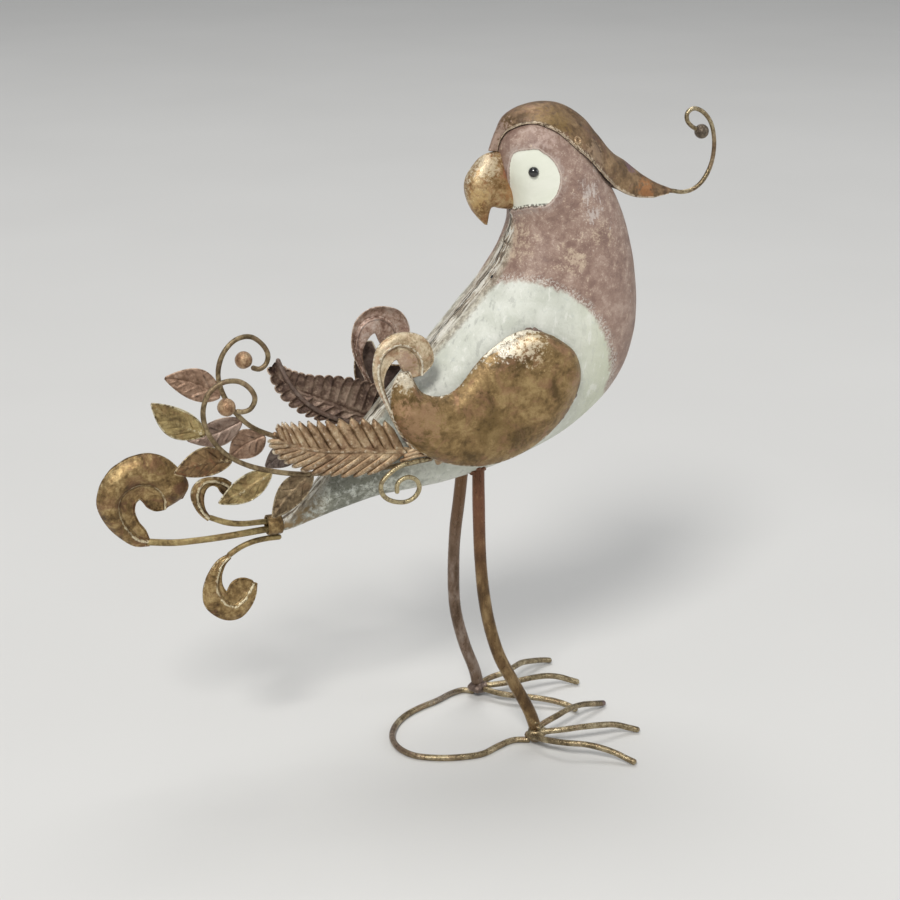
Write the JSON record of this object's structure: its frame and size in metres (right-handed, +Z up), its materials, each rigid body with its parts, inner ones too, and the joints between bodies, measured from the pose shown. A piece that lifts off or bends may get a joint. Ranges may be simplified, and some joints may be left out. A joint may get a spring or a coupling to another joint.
{
  "type": "standing bird ornament",
  "caption": "Standing sheet-steel bird ornament with its head turned back, a wire crest, wings, leaf sprays, a scroll tail and long legs on wire feet.",
  "frame": {"origin": "on the floor under the middle of the whole bird's box", "axes": "+X the way the breast and toes point, +Y the bird's left, +Z up; the beak points back along -X"},
  "size_m": [0.4076, 0.1694, 0.4139],
  "materials": {
    "painted_body": "distressed mauve and cream paint",
    "antique_gold": "antique gold paint, rubbed",
    "head_gold": "gold leaf over brown",
    "eye_black": "gloss black",
    "brassed_steel": "satin brass lacquer, worn",
    "copper_gold": "copper gold paint",
    "tail_gold": "hammered antique gold paint",
    "rose_bronze": "rose brown bronze paint",
    "leaf_gold": "gold paint, ridges rubbed bright"
  },
  "bodies": {
    "root": {"body_shell_right": "painted_body", "body_shell_left": "painted_body", "beak": "head_gold", "eye_bead_right": "eye_black", "eye_bead_left": "eye_black", "crest_cap": "head_gold", "crest_rivet_right": "head_gold", "crest_rivet_left": "head_gold", "crest_wire": "brassed_steel", "crest_ball": "copper_gold", "wing_right": "antique_gold", "wing_left": "antique_gold", "scroll_leaf_right": "leaf_gold", "scroll_leaf_left": "rose_bronze", "fern_leaf_right": "leaf_gold", "fern_stem_right": "leaf_gold", "fern_leaf_left": "rose_bronze", "fern_stem_left": "rose_bronze", "curl_wire_right": "leaf_gold", "curl_wire_left": "rose_bronze", "spray_weld_right": "antique_gold", "spray_weld_left": "antique_gold", "branch_wire_right": "leaf_gold", "branch_ball_right": "copper_gold", "branch_wire_left": "rose_bronze", "branch_ball_left": "copper_gold", "leaf_right_1": "leaf_gold", "leaf_right_2": "leaf_gold", "leaf_right_3": "leaf_gold", "leaf_right_4": "leaf_gold", "leaf_left_1": "rose_bronze", "leaf_left_2": "rose_bronze", "leaf_left_3": "rose_bronze", "leaf_left_4": "rose_bronze", "tail_collar": "copper_gold", "tail_stem_large": "tail_gold", "tail_stem_small": "tail_gold", "tail_stem_lower": "tail_gold", "tail_scroll_large": "tail_gold", "tail_scroll_small": "tail_gold", "tail_scroll_lower": "tail_gold", "leg_right": "brassed_steel", "ankle_weld_right": "brassed_steel", "toe_right_inner": "brassed_steel", "toe_right_middle": "brassed_steel", "toe_right_outer": "brassed_steel", "leg_left": "brassed_steel", "ankle_weld_left": "brassed_steel", "toe_left_inner": "brassed_steel", "toe_left_middle": "brassed_steel", "toe_left_outer": "brassed_steel", "foot_loop": "brassed_steel"}
  },
  "joints": []
}
